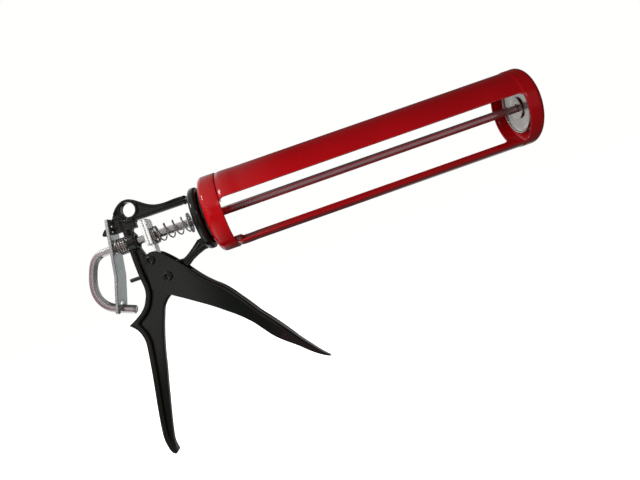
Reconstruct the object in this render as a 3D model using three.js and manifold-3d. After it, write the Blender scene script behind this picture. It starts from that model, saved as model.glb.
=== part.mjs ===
// Caulking gun with a revolving open cradle, hex rod, two grip plates and a
// thumb release. Millimetres, +Z up. The rod and cradle axis runs along +X,
// the pistol grip points down (-Z), and Y is the side-to-side direction.
// The drawing coordinates below have their zero on the rod axis at the seat of
// the rear cup; the whole group is then moved so that the origin is at the
// centre of the object's bounding box.
import * as THREE from 'three';
import { mergeVertices } from 'three/addons/utils/BufferGeometryUtils.js';
import Module from 'manifold-3d';

const wasm = await Module();
wasm.setup();

// ---------------------------------------------------------------- dimensions
const GAP = 0.3;                 // clearance between neighbouring pieces

// revolving cradle
const CUP_R = 27.6;              // outside radius of both cups
const SHEET = 1.2;               // cup sheet thickness
const REAR_CUP_X0 = -8.9;        // back face of the rear cup
const REAR_CUP_X1 = 4.0;         // front edge of the rear cup
const FRONT_CUP_X0 = 219.8;      // rear edge of the front cup
const FRONT_CUP_X1 = 231.0;      // front face of the front cup
const CUP_CORNER = 3.7;          // drawn corner radius of the cups
const NOZZLE_R = 11.0;           // nozzle hole in the front cup
const ARM_R = 27.2;              // outside radius of the arms
const ARM_T = 1.0;               // arm sheet thickness
const TONGUE_R = 26.1;           // outside radius of the arm ends, lapped in the cups
const UPPER_ARM = [10.0, 77.8];  // degrees from +Z towards -Y
const LOWER_ARM = [156.6, 221.0];
const LOADING = [226.0, 337.0];  // the rear cup's skirt is cut back between these angles, for loading
const LOADING_X = -4.4;          // depth of that cut

// rod
const ROD_AF = 5.6;              // hexagon across flats
const ROD_FRONT = 224.2;         // shoulder behind the pusher disc
const STUD_R = 2.5;              // threaded end
const ROD_END = 229.4;
const HOOK = [                   // centre line of the bent pull hook (x, z)
  [-88.0, 0.0], [-90.6, -0.15], [-93.2, -0.9], [-95.7, -2.5], [-97.8, -4.9], [-99.6, -8.2],
  [-101.2, -12.2], [-102.6, -16.4], [-103.5, -20.8], [-103.7, -25.2], [-103.0, -29.4],
  [-101.5, -32.9], [-99.4, -35.8], [-96.6, -38.3], [-93.2, -40.2], [-80.4, -45.6]];

// pusher
const DISC_R = 18.5;

// handle casting
const RIM_W = 4.8;               // half width of the casting's rims
const WEB_W = 2.4;               // half thickness of the casting's web
const RIM_T = 3.9;               // rim thickness along the palm side
const FLANGE_R = 22.6;
const FLANGE_X0 = -17.8, FLANGE_X1 = -12.0;
const SPIGOT_R = 9.0, SPIGOT_X1 = -3.2;
const BORE_R = 3.95;             // rod bore in the casting
const HANG = [-62.3, 22.9, 5.2]; // hanging hole: x, z, radius
const PIVOT = [-49.8, -31.0];    // trigger pivot
const DRIVE = [-57.6, -16.6];    // drive pin
const PIVOT_PIN_R = 2.5, DRIVE_PIN_R = 2.0, ROLLER_R = 3.2;

// trigger channel
const TRIG_W = 7.2, TRIG_T = 1.5;

// plates
const PLATE_T = 2.1;
const REL_W = 8.4;               // half width of the release plate
const REL_T = 2.2;

const REAR = [[-70.3, -3.6], [-70.3, -10.5], [-70.1, -20.3], [-69.6, -27.2], [-69.1, -33.1], [-69.8, -38.1], [-71.3, -41.5],
  [-73.2, -45.0], [-76.2, -48.2], [-79.3, -50.4], [-83.1, -52.6], [-87.9, -54.9], [-85.4, -57.3], [-83.1, -60.2], [-81.6, -63.7],
  [-80.8, -67.6], [-80.7, -70.6], [-81.6, -77.5], [-83.1, -87.4], [-84.6, -96.2], [-86.4, -106.1], [-88.0, -115.0], [-89.6, -124.8],
  [-90.7, -132.7], [-91.0, -137.6], [-90.6, -142.6], [-89.6, -147.0], [-88.2, -149.5], [-86.4, -150.6]];
const GRIP_FRONT = [[-57.8, -46.5], [-60.8, -50.3], [-62.8, -55.1], [-65.3, -61.6], [-68.1, -70.2], [-70.9, -80.3], [-73.5, -91.3],
  [-75.9, -100.4], [-78.4, -110.5], [-80.9, -120.5], [-83.4, -131.0], [-85.2, -140.0], [-85.5, -146.0], [-85.2, -149.6]];
const TOP = [[-21.1, 19.3], [-29.1, 19.5], [-34.0, 19.3], [-38.9, 19.4], [-42.9, 20.1], [-45.9, 21.2], [-48.8, 22.8], [-51.8, 24.9],
  [-54.5, 27.0], [-57.0, 28.7], [-59.6, 29.8], [-62.2, 30.2], [-64.9, 29.9], [-67.6, 28.6], [-70.6, 26.1], [-73.3, 22.9], [-75.4, 20.2]];
const TRIG_HEAD = [[-52.1, -44.1], [-54.0, -43.2], [-56.9, -41.2], [-60.6, -39.1], [-63.4, -36.8], [-63.2, -30.3], [-63.1, -20.5],
  [-62.4, -15.6], [-60.6, -12.8], [-57.6, -11.2], [-54.4, -11.0], [-51.2, -12.2], [-48.6, -14.4], [-43.0, -20.3], [-38.6, -25.3]];
const TRIG_FRONT = [[-36.0, -28.4], [-31.7, -34.0], [-26.6, -40.2], [-21.5, -45.3], [-16.4, -49.7], [-12.3, -54.5], [-8.2, -60.2],
  [-4.1, -66.0], [-0.9, -70.7], [3.0, -76.4], [7.1, -81.5], [11.2, -86.9], [15.3, -92.5], [19.4, -98.3], [23.4, -104.2],
  [27.7, -109.6], [31.8, -114.8], [35.9, -119.6], [38.9, -122.4]];
const TRIG_LOW = [[38.6, -123.0], [35.0, -121.0], [30.2, -117.6], [25.4, -113.4], [20.6, -108.6], [15.8, -104.3], [10.9, -100.1], [6.0, -95.4],
  [1.1, -89.1], [-3.8, -82.5], [-8.7, -77.1], [-13.6, -72.5], [-18.5, -68.4], [-23.4, -64.4], [-28.3, -60.6], [-33.2, -57.1],
  [-38.1, -53.7], [-43.0, -50.3], [-47.9, -46.9]];

// bounding box centre of the finished object in drawing coordinates
const X_MIN = -106.695, X_MAX = FRONT_CUP_X1, Z_MIN = -150.6, Z_MAX = 30.2;
const OX = (X_MIN + X_MAX) / 2, OZ = (Z_MIN + Z_MAX) / 2;

// ------------------------------------------------------------------- helpers
function clean(geo) {
  let g = geo.clone();
  g.deleteAttribute('normal'); g.deleteAttribute('uv');
  g = mergeVertices(g, 1e-4);
  const p = g.attributes.position, ix = g.index.array;
  const keep = [];
  let vol = 0;
  const a = new THREE.Vector3(), b = new THREE.Vector3(), c = new THREE.Vector3();
  for (let i = 0; i < ix.length; i += 3) {
    if (ix[i] === ix[i + 1] || ix[i + 1] === ix[i + 2] || ix[i] === ix[i + 2]) continue;
    a.fromBufferAttribute(p, ix[i]); b.fromBufferAttribute(p, ix[i + 1]); c.fromBufferAttribute(p, ix[i + 2]);
    vol += a.dot(b.cross(c));
    keep.push(ix[i], ix[i + 1], ix[i + 2]);
  }
  if (vol < 0) for (let i = 0; i < keep.length; i += 3) { const t = keep[i + 1]; keep[i + 1] = keep[i + 2]; keep[i + 2] = t; }
  g.setIndex(keep);
  return g;
}
function solid(geo) {
  const g = clean(geo);
  return new wasm.Manifold(new wasm.Mesh({ numProp: 3, vertProperties: new Float32Array(g.attributes.position.array), triVerts: new Uint32Array(g.index.array) }));
}
function geometryOf(man) {
  const m = man.getMesh();
  const g = new THREE.BufferGeometry();
  const n = m.numProp, v = m.vertProperties, pos = new Float32Array(v.length / n * 3);
  for (let i = 0; i < v.length / n; i++) { pos[3 * i] = v[n * i]; pos[3 * i + 1] = v[n * i + 1]; pos[3 * i + 2] = v[n * i + 2]; }
  g.setAttribute('position', new THREE.BufferAttribute(pos, 3));
  g.setIndex(Array.from(m.triVerts));
  return g;
}
const union = (...s) => s.reduce((a, b) => a.add(b));
// prism of an XZ outline between two Y values
function prismGeo(pts, y0, y1, holes = []) {
  const s = new THREE.Shape(pts.map(p => new THREE.Vector2(p[0], p[1])));
  for (const h of holes) s.holes.push(new THREE.Path(h.map(p => new THREE.Vector2(p[0], p[1]))));
  const g = new THREE.ExtrudeGeometry(s, { depth: y1 - y0, bevelEnabled: false, steps: 1, curveSegments: 24 });
  g.rotateX(Math.PI / 2);
  g.translate(0, y1, 0);
  return g;
}
const prism = (pts, y0, y1, holes) => solid(prismGeo(pts, y0, y1, holes));
// solid of revolution about the X axis from a closed (x, r) profile
function ringGeo(profile, seg = 48) {
  const pts = profile.map(p => new THREE.Vector2(p[1], p[0]));
  pts.push(pts[0].clone());
  const g = new THREE.LatheGeometry(pts, seg);
  g.rotateZ(-Math.PI / 2);
  return g;
}
const ring = (profile, seg) => solid(ringGeo(profile, seg));
const tube = (x0, x1, r0, r1, seg = 36) => ring([[x0, r0], [x0, r1], [x1, r1], [x1, r0]], seg);
function cylX(x0, x1, r, seg = 32, z = 0) {
  const g = new THREE.CylinderGeometry(r, r, x1 - x0, seg);
  g.rotateZ(-Math.PI / 2); g.translate((x0 + x1) / 2, 0, z);
  return solid(g);
}
function cylY(x, z, r, y0, y1, seg = 28) {
  const g = new THREE.CylinderGeometry(r, r, y1 - y0, seg);
  g.translate(x, (y0 + y1) / 2, z);
  return solid(g);
}
const circle = (x, z, r, n = 28) => Array.from({ length: n }, (_, i) => [x + r * Math.cos(2 * Math.PI * i / n), z + r * Math.sin(2 * Math.PI * i / n)]);
const rect = (x0, x1, z0, z1) => [[x0, z0], [x1, z0], [x1, z1], [x0, z1]];
const boxOf = (x0, x1, y0, y1, z0, z1) => prism(rect(x0, x1, z0, z1), y0, y1);
// offset an open polyline to its left by d
function offset(line, d) {
  return line.map((p, i) => {
    const a = line[Math.max(0, i - 1)], b = line[Math.min(line.length - 1, i + 1)];
    const n1 = norm(sub(p, a)), n2 = norm(sub(b, p));
    let t = i === 0 ? n2 : i === line.length - 1 ? n1 : norm([n1[0] + n2[0], n1[1] + n2[1]]);
    return [p[0] - t[1] * d, p[1] + t[0] * d];
  });
}
function sub(a, b) { return [a[0] - b[0], a[1] - b[1]]; }
function norm(v) { const l = Math.hypot(v[0], v[1]) || 1; return [v[0] / l, v[1] / l]; }
// a path whose stations are given point by point in the XZ plane
class StationPath extends THREE.Curve {
  constructor(pts) { super(); this.pts = pts; }
  getPoint(t, target = new THREE.Vector3()) {
    const f = t * (this.pts.length - 1), i = Math.min(this.pts.length - 2, Math.floor(f));
    return target.copy(this.pts[i]).lerp(this.pts[i + 1], f - i);
  }
  getSpacedPoints() { return this.pts.map(p => p.clone()); }
  getTangentAt(u, target = new THREE.Vector3()) {
    const n = this.pts.length - 1, i = Math.round(u * n);
    const a = this.pts[Math.max(0, i - 1)], b = this.pts[Math.min(n, i + 1)], p = this.pts[i];
    const t1 = p.clone().sub(a).normalize(), t2 = b.clone().sub(p).normalize();
    return target.copy(t1).add(t2).normalize();
  }
}
const hexShape = (af) => new THREE.Shape(Array.from({ length: 6 }, (_, i) => {
  const a = i * Math.PI / 3, r = af / 2 / Math.cos(Math.PI / 6);
  return new THREE.Vector2(r * Math.cos(a), r * Math.sin(a));
}));
const discShape = (r, n) => new THREE.Shape(Array.from({ length: n }, (_, i) => new THREE.Vector2(r * Math.cos(2 * Math.PI * i / n), r * Math.sin(2 * Math.PI * i / n))));
function sweep(shape, pts) {
  return new THREE.ExtrudeGeometry(shape, { extrudePath: new StationPath(pts), steps: pts.length - 1, bevelEnabled: false });
}
class Helix extends THREE.Curve {
  constructor(x0, x1, r, turns, dead) { super(); Object.assign(this, { x0, x1, r, turns, dead }); }
  getPoint(t, target = new THREE.Vector3()) {
    const a = 2 * Math.PI * this.turns * t, d = this.dead / this.turns;
    const s = t < d ? 0.10 * t / d : t > 1 - d ? 1 - 0.10 * (1 - t) / d : 0.10 + 0.80 * (t - d) / (1 - 2 * d);
    return target.set(this.x0 + (this.x1 - this.x0) * s, -this.r * Math.sin(a), this.r * Math.cos(a));
  }
}
const helixGeo = (x0, x1, r, wire, turns, dead, steps, sides) =>
  new THREE.ExtrudeGeometry(discShape(wire, sides), { extrudePath: new Helix(x0, x1, r, turns, dead), steps, bevelEnabled: false });

const mats = {
  red: { color: 0xa51420, roughness: 0.28, metalness: 0.1 },
  black: { color: 0x20221f, roughness: 0.35, metalness: 0.1 },
  zinc: { color: 0xd0d3cf, roughness: 0.35, metalness: 0.9 },
  steel: { color: 0xa39c9c, roughness: 0.28, metalness: 1.0 },
  spring: { color: 0x9a9a98, roughness: 0.35, metalness: 1.0 },
};
const group = new THREE.Group();
const body = new THREE.Group();
body.position.set(-OX, 0, -OZ);
group.add(body);
function put(name, s, mat) {
  const geo = s.isBufferGeometry ? clean(s) : geometryOf(s);
  geo.computeVertexNormals();
  const m = new THREE.Mesh(geo, new THREE.MeshStandardMaterial(mats[mat]));
  m.name = name;
  body.add(m);
}

// ------------------------------------------------------------ handle casting
{
  // web: full side outline with the frame window and the hanging hole
  const lowerFront = [[-15.4, -21.7], [-21.0, -21.5], [-26.1, -23.3], [-31.1, -25.6], [-35.2, -28.6], [-40.0, -33.0], [-46.0, -38.6], [-52.0, -42.4]];
  const outline = [...TOP, [-77.3 + 0.0, 9.3], [-70.3, 9.3], ...REAR, ...[...GRIP_FRONT].reverse(), ...[...lowerFront].reverse(), [-15.4, 19.0]];
  const window_ = [[-60.5, 13.95], [-23.6, 13.95], [-23.6, -13.6], [-28.9, -17.9], [-33.8, -21.3], [-36.8, -22.6], [-44.0, -21.8],
    [-58.5, -21.8], [-61.4, -20.6], [-62.5, -18.5], [-62.5, -13.5], [-61.4, -10.8], [-62.4, -7.8], [-63.3, -4.4], [-64.4, -4.0], [-64.4, 9.2], [-60.5, 9.2]];
  let s = prism(outline, -WEB_W, WEB_W, [window_, circle(HANG[0], HANG[1], HANG[2])]);
  // palm rim, wrapping round the horn and down to the tip
  const rim = [[-70.3, 9.3], ...REAR];
  const inner = offset(rim, RIM_T);
  inner[11] = [-79.6, -55.2]; inner[12] = [-80.3, -56.5]; inner[13] = [-79.9, -57.7]; inner[14] = [-79.2, -59.4];
  inner[27] = [-86.0, -145.6]; inner[28] = [-85.8, -147.6]; inner[29] = [-85.3, -149.8];
  s = s.add(prism([...rim, ...inner.reverse()], -RIM_W, RIM_W));
  // rear guide wall with its round boss, and the gusset under the arm
  s = s.add(prism([[-70.3, -4.0], [-64.4, -4.0], [-64.4, 9.2], [-60.5, 9.2], [-60.5, 16.0], [-70.3, 16.0]], -RIM_W, RIM_W));
  s = s.add(cylX(-70.3, -64.4, 6.6));
  // ledge along the underside of the arm and a low rim along its top
  s = s.add(prism([[-66.0, 13.95], [-20.0, 13.95], [-20.0, 16.8], [-66.0, 16.8]], -RIM_W, RIM_W));
  const topLine = TOP.slice(0, 10);
  s = s.add(prism([...topLine, ...offset(topLine, 1.9).reverse()], -RIM_W + 0.6, RIM_W - 0.6));
  // rim round the hanging hole
  const loop = TOP.slice(9, 16);
  s = s.add(prism([...loop, ...offset(loop, 1.8).reverse()], -RIM_W + 1.0, RIM_W - 1.0));
  // rear block that the release plate rests on, and its hooked lug
  s = s.add(prism([[-70.2, 9.3], [-70.2, 20.0], [-75.5, 20.0], [-77.3, 9.3]], -7.0, 7.0));
  s = s.add(prism([[-74.0, 12.1], [-81.1, 12.1], [-81.1, 10.9], [-83.0, 9.9], [-85.6, 10.7], [-84.4, 12.9], [-82.2, 15.1], [-74.0, 15.1]], -2.8, 2.8));
  // front wall with its spring boss
  s = s.add(prism([[-23.6, -13.6], [-17.0, -20.0], [-17.0, 19.3], [-22.2, 19.3], [-23.6, 17.6]], -6.0, 6.0));
  // diagonal strut rims
  s = s.add(prism([[-17.0, -13.0], [-22.9, -13.9], [-28.9, -17.9], [-33.8, -21.3], [-36.8, -22.6], [-38.6, -22.4], [-37.0, -24.4], [-33.4, -23.2], [-28.2, -20.2], [-22.2, -16.2], [-17.0, -15.4]], -4.0, 4.0));
  s = s.add(prism([[-17.0, -21.4], [-21.0, -21.5], [-26.1, -23.3], [-31.1, -25.6], [-35.2, -28.6], [-37.4, -27.2], [-31.8, -23.3], [-26.4, -20.9], [-21.2, -19.2], [-17.0, -18.8]], -4.0, 4.0));
  // stop peg for the release plate
  s = s.add(cylX(-77.9, -68.0, 1.45, 16, -25.3));
  // swivel flange and spigot
  s = s.add(ring([[-18.0, 0], [-18.0, 20.9], [-17.3, 22.1], [-16.0, 22.6], [-14.2, 22.6], [-12.9, 22.2], [-12.0, 21.0], [-12.0, 0]], 48));
  s = s.add(cylX(-13.0, SPIGOT_X1, SPIGOT_R, 36));
  // pivot boss
  s = s.add(cylY(PIVOT[0], PIVOT[1], 6.5, -5.4, 5.4, 32));
  // bores
  s = s.subtract(cylX(-80, 10, BORE_R, 28));
  s = s.subtract(cylY(PIVOT[0], PIVOT[1], PIVOT_PIN_R + 0.35, -10, 10));
  put('handle_frame', s, 'black');
}

// pivot rivet with its two heads
{
  let s = cylY(PIVOT[0], PIVOT[1], PIVOT_PIN_R, -TRIG_W - 1.3, TRIG_W + 1.3);
  s = s.add(cylY(PIVOT[0], PIVOT[1], 3.3, -TRIG_W - 1.4, -TRIG_W - GAP));
  s = s.add(cylY(PIVOT[0], PIVOT[1], 3.3, TRIG_W + GAP, TRIG_W + 1.4));
  put('trigger_pivot_pin', s, 'black');
}

// ------------------------------------------------------------------- cradle
function cupProfile(x0, x1, r, corner, hole, seat) {   // closed end at x0, open end at x1; seat is the radius where the cartridge's seat begins
  const d = Math.sign(x1 - x0), o = [], i = [];
  for (let k = 0; k <= 4; k++) {
    const a = (k / 4) * Math.PI / 2;
    o.push([x0 + d * corner * (1 - Math.sin(a)), r - corner * (1 - Math.cos(a))]);
    i.push([x0 + d * (SHEET + (corner - SHEET) * (1 - Math.sin(a))), r - SHEET - (corner - SHEET) * (1 - Math.cos(a))]);
  }
  // o runs from the skirt to the end wall
  return [[x1, r - SHEET], [x1, r], ...o, [x0, hole], [x0 + d * SHEET, hole], [x0 + d * SHEET, seat], ...i.reverse()];
}
// a sector between two angles about the rod axis, from x on
function wedge(a0, a1, x, length) {
  const pts = [[0, 0]];
  for (let k = 0; k <= 6; k++) {
    const a = THREE.MathUtils.degToRad(a0 + (a1 - a0) * k / 6);
    pts.push([-Math.sin(a) * 40, Math.cos(a) * 40]);
  }
  const g = new THREE.ExtrudeGeometry(new THREE.Shape(pts.map(p => new THREE.Vector2(p[0], p[1]))), { depth: length, bevelEnabled: false });
  // shape (y, z) extruded along x
  const m = new THREE.Matrix4().set(0, 0, 1, x, 1, 0, 0, 0, 0, 1, 0, 0, 0, 0, 0, 1);
  g.applyMatrix4(m);
  return solid(g);
}
put('rear_cup', ring(cupProfile(REAR_CUP_X0, REAR_CUP_X1, CUP_R, CUP_CORNER, SPIGOT_R + GAP, 16.5), 48).subtract(wedge(...LOADING, LOADING_X, 20)), 'red');
put('front_cup', ring(cupProfile(FRONT_CUP_X1, FRONT_CUP_X0, CUP_R, CUP_CORNER, NOZZLE_R, 14.0), 48), 'red');
{
  const xa = REAR_CUP_X1 + GAP, xb = FRONT_CUP_X0 - GAP;
  const prof = [[-4.5, TONGUE_R], [xa - 0.6, TONGUE_R], [xa, TONGUE_R + 0.3], [xa + 0.2, ARM_R], [xb - 0.2, ARM_R], [xb, TONGUE_R + 0.3], [xb + 0.6, TONGUE_R], [226.5, TONGUE_R],
    [226.5, TONGUE_R - ARM_T], [xb - 0.9, TONGUE_R - ARM_T], [xb - 2.0, ARM_R - ARM_T], [xa + 2.0, ARM_R - ARM_T], [xa + 0.9, TONGUE_R - ARM_T], [-4.5, TONGUE_R - ARM_T]];
  const full = ring(prof, 60);
  put('upper_arm', full.intersect(wedge(...UPPER_ARM, -15, 260)), 'red');
  put('lower_arm', full.intersect(wedge(...LOWER_ARM, -15, 260)), 'red');
}
put('swivel_collar', tube(-11.7, -9.2, SPIGOT_R + GAP, 19.5, 40), 'black');
put('swivel_washer', tube(-7.4, -6.3, SPIGOT_R + GAP, 15.5, 40), 'zinc');
{
  const g = new THREE.CylinderGeometry(13.6, 13.6, 2.5, 6);
  g.rotateZ(-Math.PI / 2); g.translate(-4.75, 0, 0);
  put('swivel_nut', solid(g).subtract(cylX(-8, 0, SPIGOT_R + GAP, 36)), 'zinc');
}

// ---------------------------------------------------------------------- rod
{
  const pts = [new THREE.Vector3(ROD_FRONT, 0, 0), ...HOOK.map(p => new THREE.Vector3(p[0], 0, p[1]))];
  const s = solid(sweep(hexShape(ROD_AF), pts)).add(cylX(ROD_FRONT - 3, ROD_END, STUD_R, 20));
  put('plunger_rod', s, 'steel');
}
put('pusher_washer', tube(ROD_FRONT + GAP, ROD_FRONT + GAP + 1.0, STUD_R + GAP, 8.0, 28), 'zinc');
{
  const x = ROD_FRONT + 1.6;
  put('pusher_disc', ring([[x + 1.1, STUD_R + GAP], [x + 1.1, 6.0], [x + 1.1, 15.0], [x + 0.6, 17.0], [x - 0.4, DISC_R], [x - 1.8, DISC_R], [x - 1.8, DISC_R - 1.2],
    [x - 0.9, DISC_R - 1.3], [x - 0.3, 16.2], [x, 14.6], [x, STUD_R + GAP]], 40), 'zinc');
  const g = new THREE.CylinderGeometry(4.6, 4.6, 2.0, 6);
  g.rotateZ(-Math.PI / 2); g.translate(x + 1.4 + 1.0, 0, 0);
  put('pusher_nut', solid(g).subtract(cylX(x - 1, x + 6, STUD_R + GAP, 20)), 'zinc');
}

// ------------------------------------------------------------------ trigger
{
  const outer = [...TRIG_HEAD, ...TRIG_FRONT, ...TRIG_LOW];
  let s = prism(outer, -TRIG_W, TRIG_W);
  // hollow: everything between the side plates, behind the front wall
  const wall = offset([...TRIG_FRONT.slice(1, 14)], -TRIG_T);
  const cut = [[-75, -50], [-75, 0], [-30, 0], [-34.4, -29.6], ...wall, [11.0, -107.0], [-10, -100]];
  s = s.subtract(prism(cut, -TRIG_W + TRIG_T, TRIG_W - TRIG_T));
  // the channel narrows towards its tip
  const plan = new THREE.ExtrudeGeometry(new THREE.Shape([[-70, -TRIG_W], [16, -TRIG_W], [39.5, -2.8], [39.5, 2.8], [16, TRIG_W], [-70, TRIG_W]]
    .map(p => new THREE.Vector2(p[0], p[1]))), { depth: 130, bevelEnabled: false });
  plan.translate(0, 0, -130);
  s = s.intersect(solid(plan));
  s = s.subtract(cylY(PIVOT[0], PIVOT[1], PIVOT_PIN_R + 0.35, -10, 10));
  s = s.subtract(cylY(DRIVE[0], DRIVE[1], DRIVE_PIN_R + 0.35, -10, 10));
  put('trigger', s, 'black');
  let p = cylY(DRIVE[0], DRIVE[1], DRIVE_PIN_R, -TRIG_W - 1.3, TRIG_W + 1.3, 24);
  p = p.add(cylY(DRIVE[0], DRIVE[1], 3.3, -TRIG_W - 1.4, -TRIG_W - GAP, 28));
  p = p.add(cylY(DRIVE[0], DRIVE[1], 3.3, TRIG_W + GAP, TRIG_W + 1.4, 28));
  put('drive_pin', p, 'black');
  put('drive_roller', cylY(DRIVE[0], DRIVE[1], ROLLER_R, -5.3, 5.3, 28).subtract(cylY(DRIVE[0], DRIVE[1], DRIVE_PIN_R + 0.35, -8, 8, 24)), 'zinc');
}

// -------------------------------------------------------------- grip plates
{
  const x1 = DRIVE[0] + ROLLER_R + GAP;             // rear face of the tailed plate
  const yz = (pts, x0, x) => {
    const g = new THREE.ExtrudeGeometry(new THREE.Shape(pts.map(p => new THREE.Vector2(p[0], p[1]))), { depth: x - x0, bevelEnabled: false });
    g.applyMatrix4(new THREE.Matrix4().set(0, 0, 1, x0, 1, 0, 0, 0, 0, 1, 0, 0, 0, 0, 0, 1));
    return solid(g);
  };
  const c = 2.0;
  const head = [[-7.0, -6.2 + c], [-7.0, 12.6 - c], [-7.0 + c, 12.6], [7.0 - c, 12.6], [7.0, 12.6 - c], [7.0, -6.2 + c], [7.0 - c, -6.2]];
  const tailed = [...head, [4.2, -6.2], [4.2, -19.2], [3.4, -20.0], [-3.4, -20.0], [-4.2, -19.2], [-4.2, -6.2], [-7.0 + c, -6.2]];
  const plain = [...head, [-7.0 + c, -6.2]];
  put('drive_plate', yz(tailed, x1, x1 + PLATE_T).subtract(cylX(-70, -40, 3.85, 28)), 'zinc');
  put('drive_backing_plate', yz(plain, x1 - GAP - PLATE_T, x1 - GAP).subtract(cylX(-70, -40, 3.85, 28)), 'zinc');
  // springs on the rod
  const w = 0.55;
  put('return_spring', helixGeo(x1 + PLATE_T + GAP + w, -25.2 - w, 6.3 - w, w, 6.5, 0.8, 91, 6), 'spring');
  put('spring_seat_washer', tube(-24.9, -23.9, 4.1, 7.4, 28), 'zinc');
  const v = 0.65;
  put('release_spring', helixGeo(-77.7 + v, -70.6 - v, 6.1 - v, v, 3.6, 0.9, 50, 6), 'spring');
}

// ------------------------------------------------------------ release plate
{
  const a = [-75.9, 20.3], m = [-82.4, -19.6], b = [-90.1, -44.8];   // front face line
  const q = offset([a, m, b], -REL_T);      // rear face
  let s = prism([a, m, b, ...q.reverse()], -REL_W, REL_W);
  s = s.subtract(cylX(-95, -60, 4.3, 28));                              // rod hole
  s = s.subtract(boxOf(-95, -60, -3.4, 3.4, 11.3, 15.9));                // window for the lug
  s = s.subtract(boxOf(-100, -60, -4.4, 4.4, -60, -36.6));               // open fork for the rod's hook end
  put('release_plate', s, 'zinc');
}

export default group;
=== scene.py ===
import math

import bmesh
import bpy
from mathutils import Matrix, Vector, geometry


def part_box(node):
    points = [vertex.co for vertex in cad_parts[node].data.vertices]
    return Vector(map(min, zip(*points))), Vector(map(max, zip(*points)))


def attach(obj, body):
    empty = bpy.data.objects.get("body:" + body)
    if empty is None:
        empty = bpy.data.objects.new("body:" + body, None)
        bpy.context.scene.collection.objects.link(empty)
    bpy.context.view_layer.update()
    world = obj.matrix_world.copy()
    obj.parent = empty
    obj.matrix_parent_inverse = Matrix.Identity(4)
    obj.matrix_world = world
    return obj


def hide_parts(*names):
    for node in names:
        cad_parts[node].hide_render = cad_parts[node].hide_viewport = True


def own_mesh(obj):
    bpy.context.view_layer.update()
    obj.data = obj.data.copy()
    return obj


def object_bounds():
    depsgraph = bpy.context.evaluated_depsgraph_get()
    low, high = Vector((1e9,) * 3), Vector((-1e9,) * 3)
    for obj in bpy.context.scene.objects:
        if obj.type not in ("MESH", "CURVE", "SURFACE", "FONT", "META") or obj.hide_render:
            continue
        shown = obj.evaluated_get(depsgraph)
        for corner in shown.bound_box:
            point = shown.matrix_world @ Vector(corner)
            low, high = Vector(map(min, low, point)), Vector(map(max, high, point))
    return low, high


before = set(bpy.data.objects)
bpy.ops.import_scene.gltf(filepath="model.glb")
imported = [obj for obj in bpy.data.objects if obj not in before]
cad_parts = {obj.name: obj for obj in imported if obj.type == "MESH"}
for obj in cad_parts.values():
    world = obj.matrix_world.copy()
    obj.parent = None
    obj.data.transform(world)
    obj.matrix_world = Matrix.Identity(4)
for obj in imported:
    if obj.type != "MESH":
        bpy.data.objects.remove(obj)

LO0, HI0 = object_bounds()

# The shapes below are drawn in millimetres with zero on the rod axis at the rear cup's seat.
# The frame says where that zero lies in the row frame.
OX = 231.0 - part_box("front_cup")[1].x * 1000.0
OZ = -150.6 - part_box("handle_frame")[0].z * 1000.0
TO_ROW = Matrix.Translation((-OX * 0.001, 0.0, -OZ * 0.001)) @ Matrix.Scale(0.001, 4)
scene = bpy.context.scene


def row(x, y, z):
    return Vector(((x - OX) * 0.001, y * 0.001, (z - OZ) * 0.001))


# ------------------------------------------------------------------ mesh helpers
def raw(name, verts, faces, weld=1e-4):
    me = bpy.data.meshes.new(name)
    me.from_pydata([tuple(v) for v in verts], [], faces)
    bm = bmesh.new()
    bm.from_mesh(me)
    if weld:
        bmesh.ops.remove_doubles(bm, verts=bm.verts, dist=weld)
    bmesh.ops.recalc_face_normals(bm, faces=bm.faces)
    bm.to_mesh(me)
    bm.free()
    ob = bpy.data.objects.new(name, me)
    scene.collection.objects.link(ob)
    return ob


def apply_mods(ob):
    bpy.context.view_layer.update()
    dg = bpy.context.evaluated_depsgraph_get()
    me = bpy.data.meshes.new_from_object(ob.evaluated_get(dg))
    old = ob.data
    ob.modifiers.clear()
    ob.data = me
    bpy.data.meshes.remove(old)
    return ob


def drop(*obs):
    for o in obs:
        me = o.data
        bpy.data.objects.remove(o)
        bpy.data.meshes.remove(me)


def join(name, obs):
    bm = bmesh.new()
    for o in obs:
        bm.from_mesh(o.data)
    me = bpy.data.meshes.new(name)
    bm.to_mesh(me)
    bm.free()
    drop(*obs)
    ob = bpy.data.objects.new(name, me)
    scene.collection.objects.link(ob)
    return ob


def cut(ob, *cutters, keep=False):
    for c in cutters:
        m = ob.modifiers.new("cut", "BOOLEAN")
        m.operation = "DIFFERENCE"
        m.solver = "EXACT"
        m.object = c
        apply_mods(ob)
    if not keep:
        drop(*cutters)
    return ob


def cast(ob, voxel, rounds, factor=0.5):
    """Fuses overlapping closed shells into one skin and softens its edges, as casting or pressing does."""
    m = ob.modifiers.new("skin", "REMESH")
    m.mode = "VOXEL"
    m.voxel_size = voxel
    m.adaptivity = 0.0
    if rounds:
        s = ob.modifiers.new("soft", "SMOOTH")
        s.factor = factor
        s.iterations = rounds
    return apply_mods(ob)


def edge(ob, width, segments=3, angle=40):
    b = ob.modifiers.new("edge", "BEVEL")
    b.width = width
    b.segments = segments
    b.limit_method = "ANGLE"
    b.angle_limit = math.radians(angle)
    b.miter_outer = "MITER_ARC"
    return apply_mods(ob)


def area2(loop):
    return sum(a[0] * b[1] - b[0] * a[1] for a, b in zip(loop, loop[1:] + loop[:1]))


def unit(x, y):
    n = math.hypot(x, y) or 1.0
    return x / n, y / n


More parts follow.
